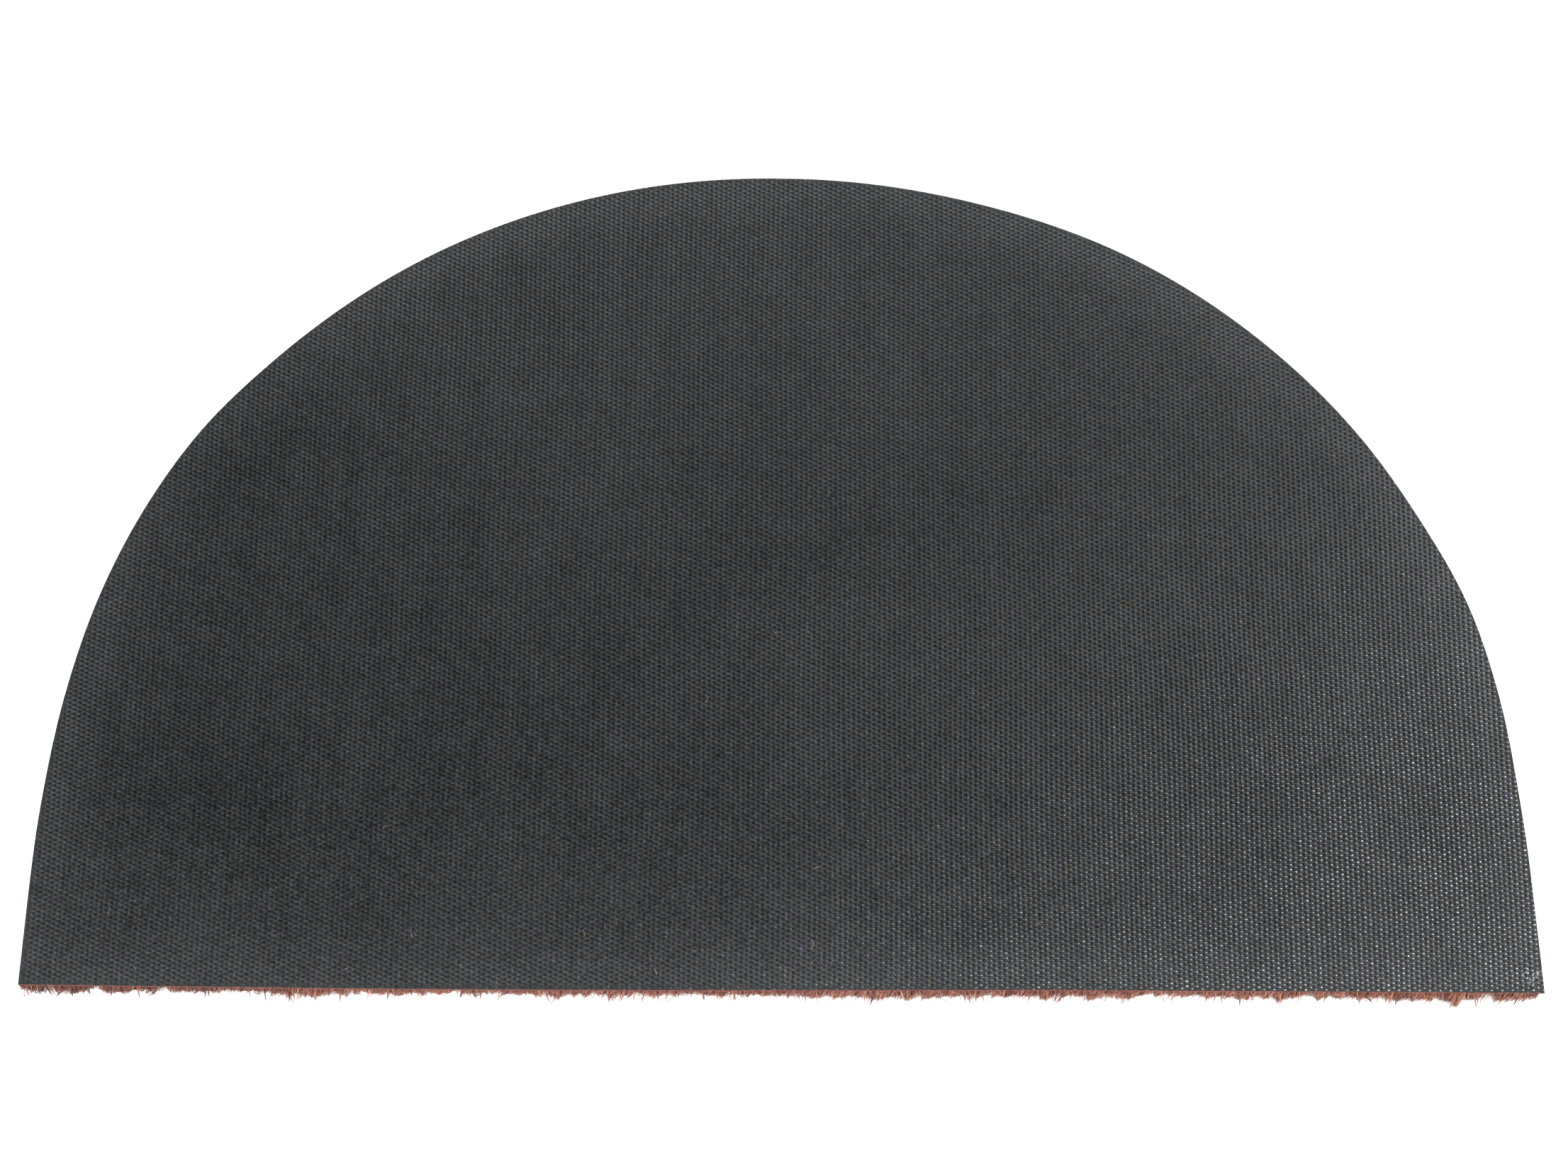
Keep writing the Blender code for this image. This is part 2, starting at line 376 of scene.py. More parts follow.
# How far the cloth's threads wander, in radians of the weave, and how much they differ
WANDER_SCALE = 330.0
THREAD_WANDER = 1.1
THREAD_SCALE = 420.0
THREAD_DIFFER = 0.45
THREAD_STRETCH = (240.0, 14.0, 100.0)
THREAD_STREAK = 0.1
# Faint patches of olive and of blue in the grey
TINT_SCALE = 200.0
OLIVE_TINT = (1.06, 1.0, 0.90, 1.0)
BLUE_TINT = (0.94, 1.0, 1.10, 1.0)
# The emboss is worn down toward the straight edge, and fades out toward the sheet's rim
FLAT_WAY = (0.0, -1.0, 0.0)
FLAT_SPAN = (0.06, 0.18)
FLAT_SHARE = 0.42
FADE_SPAN = (1.0 * MM, 4.0 * MM)
FADE_SHARE = 0.7
# The dimples are glossy and lighter by painted light: each socket on the dull rubber and in them
GLOSS_SPAN = (0.1, 0.7)
SURFACE_ENDS = {"Roughness": (0.55, 0.2), "Specular IOR Level": (0.02, 0.4)}
DIMPLE_PAINTED_LIGHT = 0.15
HOLLOW_SCALE = 260.0
# Painted glints light the dimples toward the right corner: the way there, from where and to where
PAINTED_GLINT_AND_SCUFF_COLOUR = colour(186, 188, 191)
PAINTED_GLINT_WAY = (1.0, -1.34, 0.0)
PAINTED_GLINT_SPAN = (0.18, 0.56)
PAINTED_GLINT_GAIN = (0.03, 0.42)
PAINTED_GLINT_POWER = 1.6
# Painted glints also light them along the right side
SIDE_GLINT_WAY = (1.0, -0.35, 0.0)
SIDE_GLINT_SPAN = (0.26, 0.40)
SIDE_GLINT_GAIN = (0.0, 0.32)
# The painted glints differ from dimple to dimple, in patches and in speckles
GLINT_DIFFER = (0.6, 1.4)
GLINT_PATCH_SCALE = 30.0
GLINT_PATCHES = (0.35, 0.65, 0.7, 1.3)
GLINT_SPECKLE = (0.4, 1.6)
# A few dimples shine out with brighter painted glints
SPARK_POWER = 16.0
SPARK_WAY = (0.5, -1.0, 0.0)
SPARK_SPAN = (-0.1, 0.3)
SPARK_GAIN = (0.0, 0.2)
# White scuffs by the right corner: their middle from the straight edge, and how far out
SCUFF_SPOT = (0.3695, 0.009)
SCUFF_REACH = 7.0 * MM
SCUFF_SHARE = 0.6
SCUFF_SPECKLE = (0.56, 0.64)


class Weave:
    """The emboss in nodes, from the turns of the weave along and across its rows."""

    def __init__(self, tree, place):
        self.tree = tree
        wander = tree.axes(tree.noise(place, WANDER_SCALE, detail=1.0, output="Color"))
        lattice = tree.axes(tree.attribute("weave", "Vector"))
        self.along, self.across = [
            tree.math(
                "MULTIPLY_ADD", lattice[axis], 2 * math.pi,
                tree.math("MULTIPLY_ADD", wander[axis], THREAD_WANDER, -THREAD_WANDER / 2),
            )
            for axis in (0, 1)
        ]
        self.cosines = [tree.math("COSINE", turn) for turn in (self.along, self.across)]
        self.sines = [tree.math("SINE", turn) for turn in (self.along, self.across)]

    def value(self):
        """About 1 on a raised dash and -1 in a pit, both leaning over to one side."""
        tree, sines, cosines = self.tree, self.sines, self.cosines
        lean = tree.math("MULTIPLY", tree.math("MULTIPLY", sines[0], cosines[0]), 2 * WEAVE_LEAN)
        slanted = tree.math("MULTIPLY_ADD", tree.math("MULTIPLY", *sines), WEAVE_SLANT, lean)
        return tree.math("MULTIPLY_ADD", cosines[0], cosines[1], slanted)

    def slopes(self):
        """How the value changes for each radian along and across."""
        tree, sines, cosines = self.tree, self.sines, self.cosines
        found = []
        for here, other in ((0, 1), (1, 0)):
            tilt = tree.math("MULTIPLY", cosines[here], sines[other])
            fall = tree.math("MULTIPLY", sines[here], cosines[other])
            found.append(tree.math("SUBTRACT", tree.math("MULTIPLY", tilt, WEAVE_SLANT), fall))
        twice = tree.math("SUBTRACT", tree.math("MULTIPLY", cosines[0], cosines[0]), 0.5)
        found[0] = tree.math("MULTIPLY_ADD", twice, 4 * WEAVE_LEAN, found[0])
        return found

    def dimple_turns(self, start):
        """Turns along and across, counted from a dimple of one kind of row."""
        along = self.tree.math("SUBTRACT", self.along, start + math.pi + DIMPLE_SHIFT[0])
        across = self.tree.math("SUBTRACT", self.across, start + DIMPLE_SHIFT[1])
        return along, across

    def dimple_chance(self, start):
        """A random number from 0 to 1 for each dimple of one kind of row."""
        tree = self.tree
        site = [
            tree.math("ROUND", tree.math("MULTIPLY", turn, 1 / (2 * math.pi)))
            for turn in self.dimple_turns(start)
        ]
        spot = tree.joined(*site, start)
        return tree.node("ShaderNodeTexWhiteNoise", {"Vector": spot}).outputs["Value"]

    def dimple_row(self, start, sharpness):
        """A row's dimples, and how they change for each radian along and across."""
        tree = self.tree
        along, across = self.dimple_turns(start)
        rise = tree.math("SUBTRACT", 1, tree.math("COSINE", along))
        climb = tree.math("SUBTRACT", 1, tree.math("COSINE", across))
        total = tree.math("MULTIPLY", rise, -sharpness[0])
        square = tree.math("MULTIPLY", climb, climb)
        value = tree.math("EXPONENT", tree.math("MULTIPLY_ADD", square, -sharpness[1], total))
        over = tree.math("MULTIPLY", tree.math("SINE", along), -sharpness[0])
        up = tree.math("MULTIPLY", tree.math("SINE", across), -2 * sharpness[1])
        up = tree.math("MULTIPLY", up, climb)
        return value, tree.math("MULTIPLY", over, value), tree.math("MULTIPLY", up, value)

    def dimples(self, sharpness):
        """1 in the middle of each pit's dimple and 0 away from it, with its two slopes."""
        rows = zip(*[self.dimple_row(start, sharpness) for start in (0.0, math.pi)])
        return [self.tree.math("ADD", *pair) for pair in rows]

    def painted_glints(self, sharpness, gain, spark):
        """How bright each dimple's painted glint is: most of them about alike, and a few a lot
        more.
        """
        tree = self.tree
        total = 0.0
        for start in (0.0, math.pi):
            chance = self.dimple_chance(start)
            differ = tree.ramp(chance, 0, 1, *GLINT_DIFFER, smooth=False)
            shine = tree.math("MULTIPLY", gain, differ)
            shine = tree.math("MULTIPLY_ADD", spark, tree.math("POWER", chance, SPARK_POWER), shine)
            total = tree.math("MULTIPLY_ADD", self.dimple_row(start, sharpness)[0], shine, total)
        return total


def relief_normal(tree, weave, hollow):
    """The sheet's upward direction on its weave and in its dimples, free of pixel size."""
    _, *dips = weave.dimples(DIMPLE_SHARPNESS)
    sides = []
    for slope, dip, turn in zip(weave.slopes(), dips, WEAVE_TURNS):
        broad = tree.math("MULTIPLY", slope, -turn * BROAD_DEPTH / 2)
        deep = tree.math("MULTIPLY", tree.math("MULTIPLY", dip, hollow), turn * DIMPLE_DEPTH)
        sides.append(tree.math("ADD", broad, deep))
    inputs = {0: tree.joined(*sides, 1.0)}
    return tree.node("ShaderNodeVectorMath", inputs, operation="NORMALIZE").outputs["Vector"]


def raised_share(tree, weave, worn, rim):
    """0 in a pit and 1 on a dash, nearer to 0.5 where the emboss is worn or fades out."""
    share = tree.math("MULTIPLY_ADD", weave.value(), 0.5, 0.5, clamp=True)
    for lost in (
        tree.math("MULTIPLY", worn, FLAT_SHARE),
        tree.ramp(rim, *FADE_SPAN, FADE_SHARE, 0.0),
    ):
        share = tree.math("MULTIPLY_ADD", tree.math("SUBTRACT", 0.5, share), lost, share)
    return share


def rubber_level(tree, place, worn, rim, thread, grain, speckle):
    """How light the rubber is apart from its emboss, painted light toward some sides included."""
    cloud = tree.noise(place, CLOUD_SCALE, detail=3.0)
    mottle = tree.noise(place, MOTTLE_SCALE, detail=3.0)
    stretched = tree.node("ShaderNodeMapping", {"Vector": place, "Scale": THREAD_STRETCH})
    streak = tree.noise(stretched.outputs["Vector"], 1.0, roughness=0.6)
    level = tree.ramp(rim, 0.0, RIM_WIDTH, RIM_LIGHT, 0.0)
    for noise, span, levels in (
        (cloud, NOISE_SPAN, (BASE_LEVEL - CLOUD_LIGHT, BASE_LEVEL + CLOUD_LIGHT)),
        (mottle, NOISE_SPAN, (-MOTTLE_LIGHT, MOTTLE_LIGHT)),
        (thread, NOISE_SPAN, (-THREAD_DIFFER / 2, THREAD_DIFFER / 2)),
        (streak, NOISE_SPAN, (-THREAD_STREAK / 2, THREAD_STREAK / 2)),
        (grain, GRAIN_SPAN, (0.0, GRAIN_LIGHT)),
    ):
        level = tree.math("ADD", level, tree.ramp(noise, *span, *levels))
    speckled = tree.ramp(worn, 0, 1, *SPECKLE_LIGHT)
    level = tree.math("MULTIPLY_ADD", tree.ramp(speckle, *SPECKLE_CHANGE), speckled, level)
    # Painted light and wear: lighter toward some sides of the sheet
    for way, span, gain in PAINTED_LIGHT_AND_WEAR:
        level = tree.math("ADD", level, tree.along_way(place, way, span, (0.0, gain)))
    return level


def painted_glint_and_scuff_share(tree, place, weave, speckle):
    """How much pale colour shows: painted glints in the dimples, and the corner's white scuffs."""
    gain = tree.math("POWER", tree.along_way(place, PAINTED_GLINT_WAY, PAINTED_GLINT_SPAN), PAINTED_GLINT_POWER)
    gain = tree.ramp(gain, 0, 1, *PAINTED_GLINT_GAIN, smooth=False)
    gain = tree.math("MAXIMUM", gain, tree.along_way(place, SIDE_GLINT_WAY, SIDE_GLINT_SPAN, SIDE_GLINT_GAIN))
    patches = tree.ramp(tree.noise(place, GLINT_PATCH_SCALE, detail=3.0), *GLINT_PATCHES)
    gain = tree.math("MULTIPLY", gain, patches)
    spark = tree.along_way(place, SPARK_WAY, SPARK_SPAN, SPARK_GAIN)
    # Painted glints: pale colour in the dimples where the light would glint
    painted_glint = weave.painted_glints(GLINT_SHARPNESS, gain, spark)
    painted_glint = tree.math("MULTIPLY", painted_glint, tree.ramp(speckle, *NOISE_SPAN, *GLINT_SPECKLE))
    spot = (SCUFF_SPOT[0], EDGE_Y + SCUFF_SPOT[1], SHEET_HIGH.z)
    away = tree.node("ShaderNodeVectorMath", {0: place, 1: spot}, operation="DISTANCE")
    scuffed = tree.ramp(away.outputs["Value"], 0.0, SCUFF_REACH, SCUFF_SHARE, 0.0)
    scuffed = tree.math("MULTIPLY", scuffed, tree.ramp(speckle, *SCUFF_SPECKLE))
    return tree.math("MAXIMUM", painted_glint, scuffed)


def cut_face(tree, place, normal, thread, grain):
    """The cut face's colour: plain rubber, with roots of the pile at the straight edge."""
    cut = tree.scaled(CUT_COLOUR[:3], tree.ramp(thread, *NOISE_SPAN, *CUT_LEVELS))
    depth = tree.math("SUBTRACT", SHEET_HIGH.z, tree.axes(place)[2])
    depth = tree.math("MULTIPLY_ADD", thread, ROOTED_RAGGED, depth)
    ahead = tree.math("MULTIPLY", tree.axes(normal)[1], -1)
    rooted = tree.ramp(depth, *ROOTED_SPAN)
    rooted = tree.math("MULTIPLY", rooted, tree.ramp(ahead, *FACING_SPAN))
    roots = tree.mix(tree.ramp(grain, *ROOTED_LIGHT), COIR_DARK, COIR_MIDDLE)
    return tree.mix(rooted, cut, roots)


def rubber_material():
    """Dark grey rubber: dull lighter dashes, dark pits with a glossy dimple, a dusty rim."""
    made, tree, shader = new_material("embossed_rubber")
    place = tree.place()
    weave = Weave(tree, place)
    gloss = weave.dimples(GLOSS_SHARPNESS)[0]
    facing = tree.node("ShaderNodeNewGeometry").outputs
    top = tree.ramp(tree.axes(facing["True Normal"])[2], *FACING_SPAN)
    worn = tree.along_way(place, FLAT_WAY, FLAT_SPAN)
    rim = tree.attribute("rim", "Fac")
    grain = tree.noise(place, GRAIN_SCALE, detail=3.0)
    speckle = tree.noise(place, SPECKLE_SCALE, detail=1.0)
    thread = tree.noise(place, THREAD_SCALE, roughness=0.6)

    light = tree.ramp(raised_share(tree, weave, worn, rim), *TONE_SPAN)
    # Painted light: the dimples' colour a little lighter
    light = tree.math("MULTIPLY_ADD", gloss, DIMPLE_PAINTED_LIGHT, light)
    level = rubber_level(tree, place, worn, rim, thread, grain, speckle)
    # Pits darker than dashes: dashes worn lighter, pits darkened with painted shade
    base = tree.scaled(tree.mix(light, PIT_COLOUR_WITH_PAINTED_SHADE, DASH_COLOUR), level)
    tint = tree.ramp(tree.noise(place, TINT_SCALE, detail=4.0, roughness=0.6), *NOISE_SPAN)
    base = tree.mix(1.0, base, tree.mix(tint, OLIVE_TINT, BLUE_TINT), blend="MULTIPLY")
    # Painted glints in the dimples, and the white scuffs by the right corner
    base = tree.mix(painted_glint_and_scuff_share(tree, place, weave, speckle), base, PAINTED_GLINT_AND_SCUFF_COLOUR)
    cut = cut_face(tree, place, facing["True Normal"], thread, grain)
    tree.feed(shader.inputs["Base Color"], tree.mix(top, cut, base))

    glossy = tree.math("MULTIPLY", tree.ramp(gloss, *GLOSS_SPAN), top)
    for socket, ends in SURFACE_ENDS.items():
        tree.feed(shader.inputs[socket], tree.ramp(glossy, 0, 1, *ends, smooth=False))

    hollow = tree.ramp(tree.noise(place, HOLLOW_SCALE), *NOISE_SPAN, *DIMPLE_DIFFER)
    relief = tree.mix(top, facing["Normal"], relief_normal(tree, weave, hollow))
    rubbed = tree.math("MULTIPLY", grain, tree.math("SUBTRACT", 1, gloss))
    tree.bump(shader, rubbed, GRAIN_DEPTH, Normal=relief)
    return made


def coir_material():
    """Dyed coir strands, each in its own shade, darker at both ends by painted shade."""
    made, tree, shader = new_material("dyed_coir")
    tone = tree.node("ShaderNodeValToRGB", {"Fac": tree.attribute("shade", "Fac")})
    tone.color_ramp.elements[0].color = COIR_DARK
    tone.color_ramp.elements[1].color = COIR_LIGHT
    tone.color_ramp.elements.new(0.5).color = COIR_MIDDLE
    reach = tree.attribute("reach", "Fac")
    # Painted shade: strands darker toward root and tip
    own = tree.math("MULTIPLY", tree.ramp(reach, *ROOT_PAINTED_SHADE), tree.ramp(reach, *TIP_PAINTED_SHADE))
    tree.feed(shader.inputs["Base Color"], tree.mix(own, COIR_DARK, tone.outputs["Color"]))
    shader.inputs["Roughness"].default_value = COIR_ROUGHNESS
    shader.inputs["Specular IOR Level"].default_value = COIR_SHINE
    tree.bump(shader, tree.noise(tree.place(), STREAK_SCALE), STREAK_DEPTH, STREAK_STRENGTH)
    return made


def loose_material():
    """The pale undyed coir of the loose fibres."""
    made, _, shader = new_material("pale_coir")
    shader.inputs["Base Color"].default_value = LOOSE_COLOUR
    shader.inputs["Roughness"].default_value = LOOSE_ROUGHNESS
    shader.inputs["Specular IOR Level"].default_value = COIR_SHINE
    return made


def core_material_with_painted_shade():
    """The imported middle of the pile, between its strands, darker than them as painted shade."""
    made, tree, shader = new_material("coir_core_with_painted_shade")
    place = tree.place()
    clump = tree.noise(place, CLUMP_SCALE, detail=4.0)
    fibre = tree.noise(place, FIBRE_SCALE, detail=4.0, roughness=0.7)
    # Painted shade: the core darker than the strands around it
    base = tree.mix(tree.ramp(clump, *NOISE_SPAN), COIR_DARK, COIR_MIDDLE)
    base = tree.mix(tree.ramp(fibre, *FIBRE_LIGHT), base, COIR_LIGHT)
    tree.feed(shader.inputs["Base Color"], base)
    shader.inputs["Roughness"].default_value = CORE_ROUGHNESS
    tree.bump(shader, fibre, FIBRE_DEPTH)
    return made


# Backing sheet

def weave_value(along, across):
    """1 on a raised dash and -1 in a pit, at places counted in weave periods."""
    return np.cos(2 * math.pi * along) * np.cos(2 * math.pi * across)


def relief_height(weave):
    return SHEET_HIGH.z - RELIEF_DEPTH * (1 - np.clip(weave, -1, 1)) / 2


def weave_sites():
    """Every pit and dash site: its place, and its column and row numbers."""
    half = WEAVE_PERIOD / 2
    columns = np.arange(math.floor(SHEET_LOW.x / half), math.ceil(SHEET_HIGH.x / half) + 1)
    rows = np.arange(math.floor(SHEET_LOW.y / WEAVE_ROW), math.ceil(SHEET_HIGH.y / WEAVE_ROW) + 1)
    column, row = np.meshgrid(columns, rows)
    along, across = column * half, row * WEAVE_ROW
    spots = np.stack([
        along + wave_shift(ALONG_WAVES, along, across),
        across + wave_shift(ACROSS_WAVES, along, across),
    ], axis=-1)
    return spots, column, row


def site_faces(keep, even, start):
    """Triangles between the sites kept, which sites they use, and their border's sides."""
    cell = keep[:-1, :-1] & keep[:-1, 1:] & keep[1:, :-1] & keep[1:, 1:]
    used = np.zeros(keep.shape, bool)
    for down in (0, 1):
        for over in (0, 1):
            used[down:keep.shape[0] - 1 + down, over:keep.shape[1] - 1 + over] |= cell
    number = np.full(keep.shape, -1)
    number[used] = start + np.arange(used.sum())
    corners = [number[:-1, :-1], number[:-1, 1:], number[1:, 1:], number[1:, :-1]]
    corners = np.stack([corner[cell] for corner in corners], axis=-1)
    even = even[:-1, :-1][cell][:, None]
    first = np.where(even, corners[:, [0, 1, 2]], corners[:, [0, 1, 3]])
    second = np.where(even, corners[:, [0, 2, 3]], corners[:, [1, 2, 3]])
    sides = np.vstack([corners[:, [i, (i + 1) % 4]] for i in range(4)])
    key = np.sort(sides, axis=1)
    _, index, times = np.unique(key, axis=0, return_index=True, return_counts=True)
    return np.vstack([first, second]).tolist(), used, sides[index[times == 1]].tolist()


def border_faces(outer, sides, places):
    """Triangles between a closed outer ring and the sides of closed inner loops."""
    bm = bmesh.new()
    count = len(outer)
    verts = [bm.verts.new((*spot, 0.0)) for spot in outer]
    edges = [bm.edges.new((verts[i], verts[(i + 1) % count])) for i in range(count)]
    found = {}
    for pair in sides:
        for key in pair:
            if key not in found:
                found[key] = bm.verts.new((*places[key], 0.0))
        edges.append(bm.edges.new([found[key] for key in pair]))
    keys = [*range(count), *found]
    bm.verts.index_update()
    bmesh.ops.triangle_fill(bm, edges=edges, use_beauty=True, normal=(0, 0, 1))
    faces = [[keys[v.index] for v in face.verts] for face in bm.faces]
    up = [face.normal.z > 0 for face in bm.faces]
    bm.free()
    return [face if way else face[::-1] for face, way in zip(faces, up)]


def mark_sharp_rims(mesh, count):
    """Marks the edges along the sheet's two outlines as sharp."""
    ends = np.empty(2 * len(mesh.edges), np.int64)
    mesh.edges.foreach_get("vertices", ends)
    ends = np.sort(ends.reshape(-1, 2), axis=1)
    apart = ends[:, 1] - ends[:, 0]
    same = (ends[:, 1] < 2 * count) & (ends[:, 0] // count == ends[:, 1] // count)
    sharp = same & ((apart == 1) | (apart == count - 1))
    mesh.attributes.new("sharp_edge", "BOOLEAN", "EDGE").data.foreach_set("value", sharp)


def make_backing(material):
    """The sheet: its upper and lower outline, and a pit or a dash at each of its sites."""
    outline = resampled(sheet_outline(), OUTLINE_STEP)
    count = len(outline)
    spots, column, row = weave_sites()
    inside = edge_distance(spots.reshape(-1, 2), outline).reshape(column.shape)
    even = (column + row) % 2 == 0
    faces, used, sides = site_faces(inside > BORDER_CLEAR, even, 2 * count)
    flat, inside = spots[used], inside[used]
    faces += border_faces(outline, sides, np.vstack([outline, outline, flat]))
    ring = np.arange(count)
    faces += wall_faces(ring + count, ring)

    lattice = np.stack([column[used] / 2, row[used] / 2], axis=-1)
    back = [wave_shift(waves, *outline.T) for waves in (ALONG_WAVES, ACROSS_WAVES)]
    rim_lattice = (outline - np.stack(back, axis=-1)) / (WEAVE_PERIOD, 2 * WEAVE_ROW)
    fade = np.clip((inside - FADE_SPAN[0]) / (FADE_SPAN[1] - FADE_SPAN[0]), 1 - FADE_SHARE, 1)
    height = relief_height(weave_value(*lattice.T) * fade)
    places = np.vstack([
        np.column_stack([outline, np.full(count, relief_height(0.0))]),
        np.column_stack([outline, np.full(count, SHEET_LOW.z)]),
        np.column_stack([flat, height]),
    ])
    weave = np.vstack([rim_lattice, rim_lattice, lattice])
    weave = np.column_stack([weave, np.zeros(len(weave))])
    rim = np.concatenate([np.zeros(2 * count), inside])
    sheet = new_piece("backing_sheet", places, faces, material, {"rim": rim}, {"weave": weave})
    mark_sharp_rims(sheet.data, count)
    return sheet


# Coir strands

# A direction that strands don't follow, and how much thinner they are before their tips
STRAND_GUIDE = (0.31, 0.52, 0.80)
STRAND_TAPER = 0.2
FLOOR_CLEAR = 0.05 * MM


def strand_piece(name, paths, widths, shades, material):
    """Three-sided tapering strands along paths, an array of strand, point and place."""
    number, steps, _ = paths.shape
    along = np.gradient(paths, axis=1)
    along /= np.linalg.norm(along, axis=2, keepdims=True)
    side = np.cross(along, STRAND_GUIDE)
    side /= np.linalg.norm(side, axis=2, keepdims=True)
    other = np.cross(along, side)
    taper = 1 - STRAND_TAPER * np.linspace(0, 1, steps)[None, :, None]
    rings = []
    for index in range(3):
        turn = 2 * math.pi * index / 3
        away = math.cos(turn) * side + math.sin(turn) * other
        rings.append(paths + away * widths[:, None, None] / 2 * taper)
    body = np.stack(rings, axis=2)[:, :-1]
    spots = np.concatenate([body.reshape(number, -1, 3), paths[:, -1:]], axis=1)
    per = spots.shape[1]
    faces = [[2, 1, 0]]
    for step in range(steps - 2):
        for index in range(3):
            here, after = 3 * step + index, 3 * step + (index + 1) % 3
            faces.append([here, after, after + 3])
            faces.append([here, after + 3, here + 3])
    last = 3 * (steps - 2)
    faces += [[last + index, last + (index + 1) % 3, per - 1] for index in range(3)]
    starts = (np.arange(number) * per)[:, None, None]
    faces = (np.array(faces)[None] + starts).reshape(-1, 3)
    reach = np.append(np.repeat(np.linspace(0, 1, steps)[:-1], 3), 1.0)
    floats = {"shade": np.repeat(shades, per), "reach": np.tile(reach, number)}
    spots[..., 2] = np.maximum(spots[..., 2], PILE_LOW.z + FLOOR_CLEAR)
    return new_piece(name, spots.reshape(-1, 3), faces.tolist(), material, floats)


# Strands are rooted at this height, and come down by at least this much
ROOT_HEIGHT = SHEET_LOW.z - 0.05 * MM
LEAST_DROP = 0.4 * MM
# Where the pile ends under the straight edge, counted from its middle, and how far behind
# the edge its first roots are
FRONT_SPAN = (-374.4 * MM, 372.6 * MM)
FRONT_INSET = 0.15 * MM
# The stretch along the arc keeps this far behind the pile's foremost tip
ARC_END_CLEAR = 4.5 * MM


class Lane:
    """A stretch of the pile's rim: its roots, the way out, and how far its tips reach out."""

    def __init__(self, roots, out, reach):
        steps = np.hypot(*np.diff(roots, axis=0).T)
        self.place = np.concatenate([[0], np.cumsum(steps)])
        self.length = float(self.place[-1])
        self.stations = np.column_stack([roots, out, reach])

    def at(self, place):
        """Root, way out and reach at places along the lane."""
        found = np.column_stack([
            np.interp(place, self.place, column) for column in self.stations.T
        ])
        return found[:, :2], found[:, 2:4], found[:, 4]


def front_lane():
    """The stretch under the straight edge, rooted right at the sheet's edge."""
    outline, tips = sheet_outline(), pile_ring(TIP_LEVEL)
    edge = left_to_right(outline[outline[:, 1] < EDGE_Y + EDGE_BAND])
    tips = left_to_right(tips[in_front(tips)])
    along = np.arange(*FRONT_SPAN, MM)
    across = np.interp(along, *edge.T) + FRONT_INSET
    reach = across - np.interp(along, *tips.T)
    out = np.tile([0.0, -1.0], (len(along), 1))
    return Lane(np.column_stack([along, across]), out, reach)


def arc_lane():
    """The stretch under the sides and the arc, from the right corner to the left one."""
    roots, tips = pile_ring(1.0), pile_ring(TIP_LEVEL)
    out = ways_out(roots, blur=2, step=2)
    reach = ((tips - roots) * out).sum(1)
    keep = roots[:, 1] > PILE_LOW.y + ARC_END_CLEAR
    start = int(np.flatnonzero(keep & ~np.roll(keep, 1))[0])
    order = (start + np.arange(keep.sum())) % len(roots)
    return Lane(roots[order], out[order], reach[order])


# How one kind of bundle grows. First its counts: bundles for each metre of rim, strands in
# a bundle and points on a strand. Then in millimetres: how deep under the sheet the roots
# go; the lean along the rim and how much it differs; how far tips splay; how far they
# reach past the solid and how much that differs; how high they end; how much they curl;
# and the least and the greatest width. Last, how much the tips gather in tufts.
Growth = namedtuple("Growth", "density strands points depth lean splay reach foot curl width tuft")
FRONT_GROWTH = Growth(
    density=1760, strands=9, points=4, depth=5.0, lean=(-1.8, 2.0), splay=0.9,
    reach=(-0.5, 0.8), foot=0.6, curl=0.45, width=(0.24, 0.50), tuft=1.0,
)
STRAY_GROWTH = Growth(
    density=500, strands=2, points=6, depth=1.5, lean=(-1.5, 4.0), splay=1.6,
    reach=(0.2, 1.3), foot=3.0, curl=0.75, width=(0.26, 0.42), tuft=0.4,
)
ARC_GROWTH = Growth(
    density=1000, strands=9, points=3, depth=3.0, lean=(0.0, 1.0), splay=0.6,
    reach=(-0.9, 0.5), foot=0.8, curl=0.4, width=(0.26, 0.46), tuft=0.5,
)
# Fibres that cling together and stand out past the rest
SPIKE_GROWTH = Growth(
    density=220, strands=1, points=4, depth=1.0, lean=(-1.2, 2.2), splay=0.4,
    reach=(2.8, 1.1), foot=2.0, curl=0.25, width=(0.6, 1.0), tuft=0.6,
)
# The lean comes and goes along the rim: wavelengths in millimetres and strengths. It stops
# at a stretch's ends, within this of them.
LEAN_WAVES = ((31.0, 0.6), (13.0, 0.8), (6.1, 0.7))
LEAN_GAIN = 0.75
LEAN_START = 8.0 * MM
# How much the strands of a bundle have in common
SHARED = {"lean": 0.6, "reach": 0.7, "foot": 0.5, "shade": 0.9}
# Most roots are near the rim, and strands rooted deeper under the sheet reach less far out
DEPTH_SKEW = 1.8
DEPTH_LOSS = 0.8
DEPTH_JITTER = 0.35 * MM
ROOT_JITTER = 0.5 * MM
# Strands go down first and then out, and curl less up and down than sideways
BOW_POWER = 1.35
UPRIGHT_CURL = 0.6
# Widths of the tufts and how far their middle stands out past their sides, in millimetres
TUFTS = ((11.3, 0.55), (6.7, 0.5), (3.9, 0.4))
TUFT_GATHER = 0.4
# Bare spots in the pile under the straight edge, where the way out is toward the front:
# where along it and half their width
STRAIGHT_OUT = -0.9
NOTCHES = ((-0.3620, 1.0 * MM), (-0.3383, 1.6 * MM), (-0.3066, 2.0 * MM), (0.3476, 2.4 * MM))
NOTCH_DEPTH = 5.0 * MM
# How the strands' shades differ, and how much those of bundles do
SHADE_ENDS = (2.0, 2.2)
BUNDLE_SHADE = 0.11
# The pile is darker toward the left corner
DARK_FROM, DARK_TO = -0.17, -0.374
DARK_SHADE = 0.38
DARK_POWER = 1.5


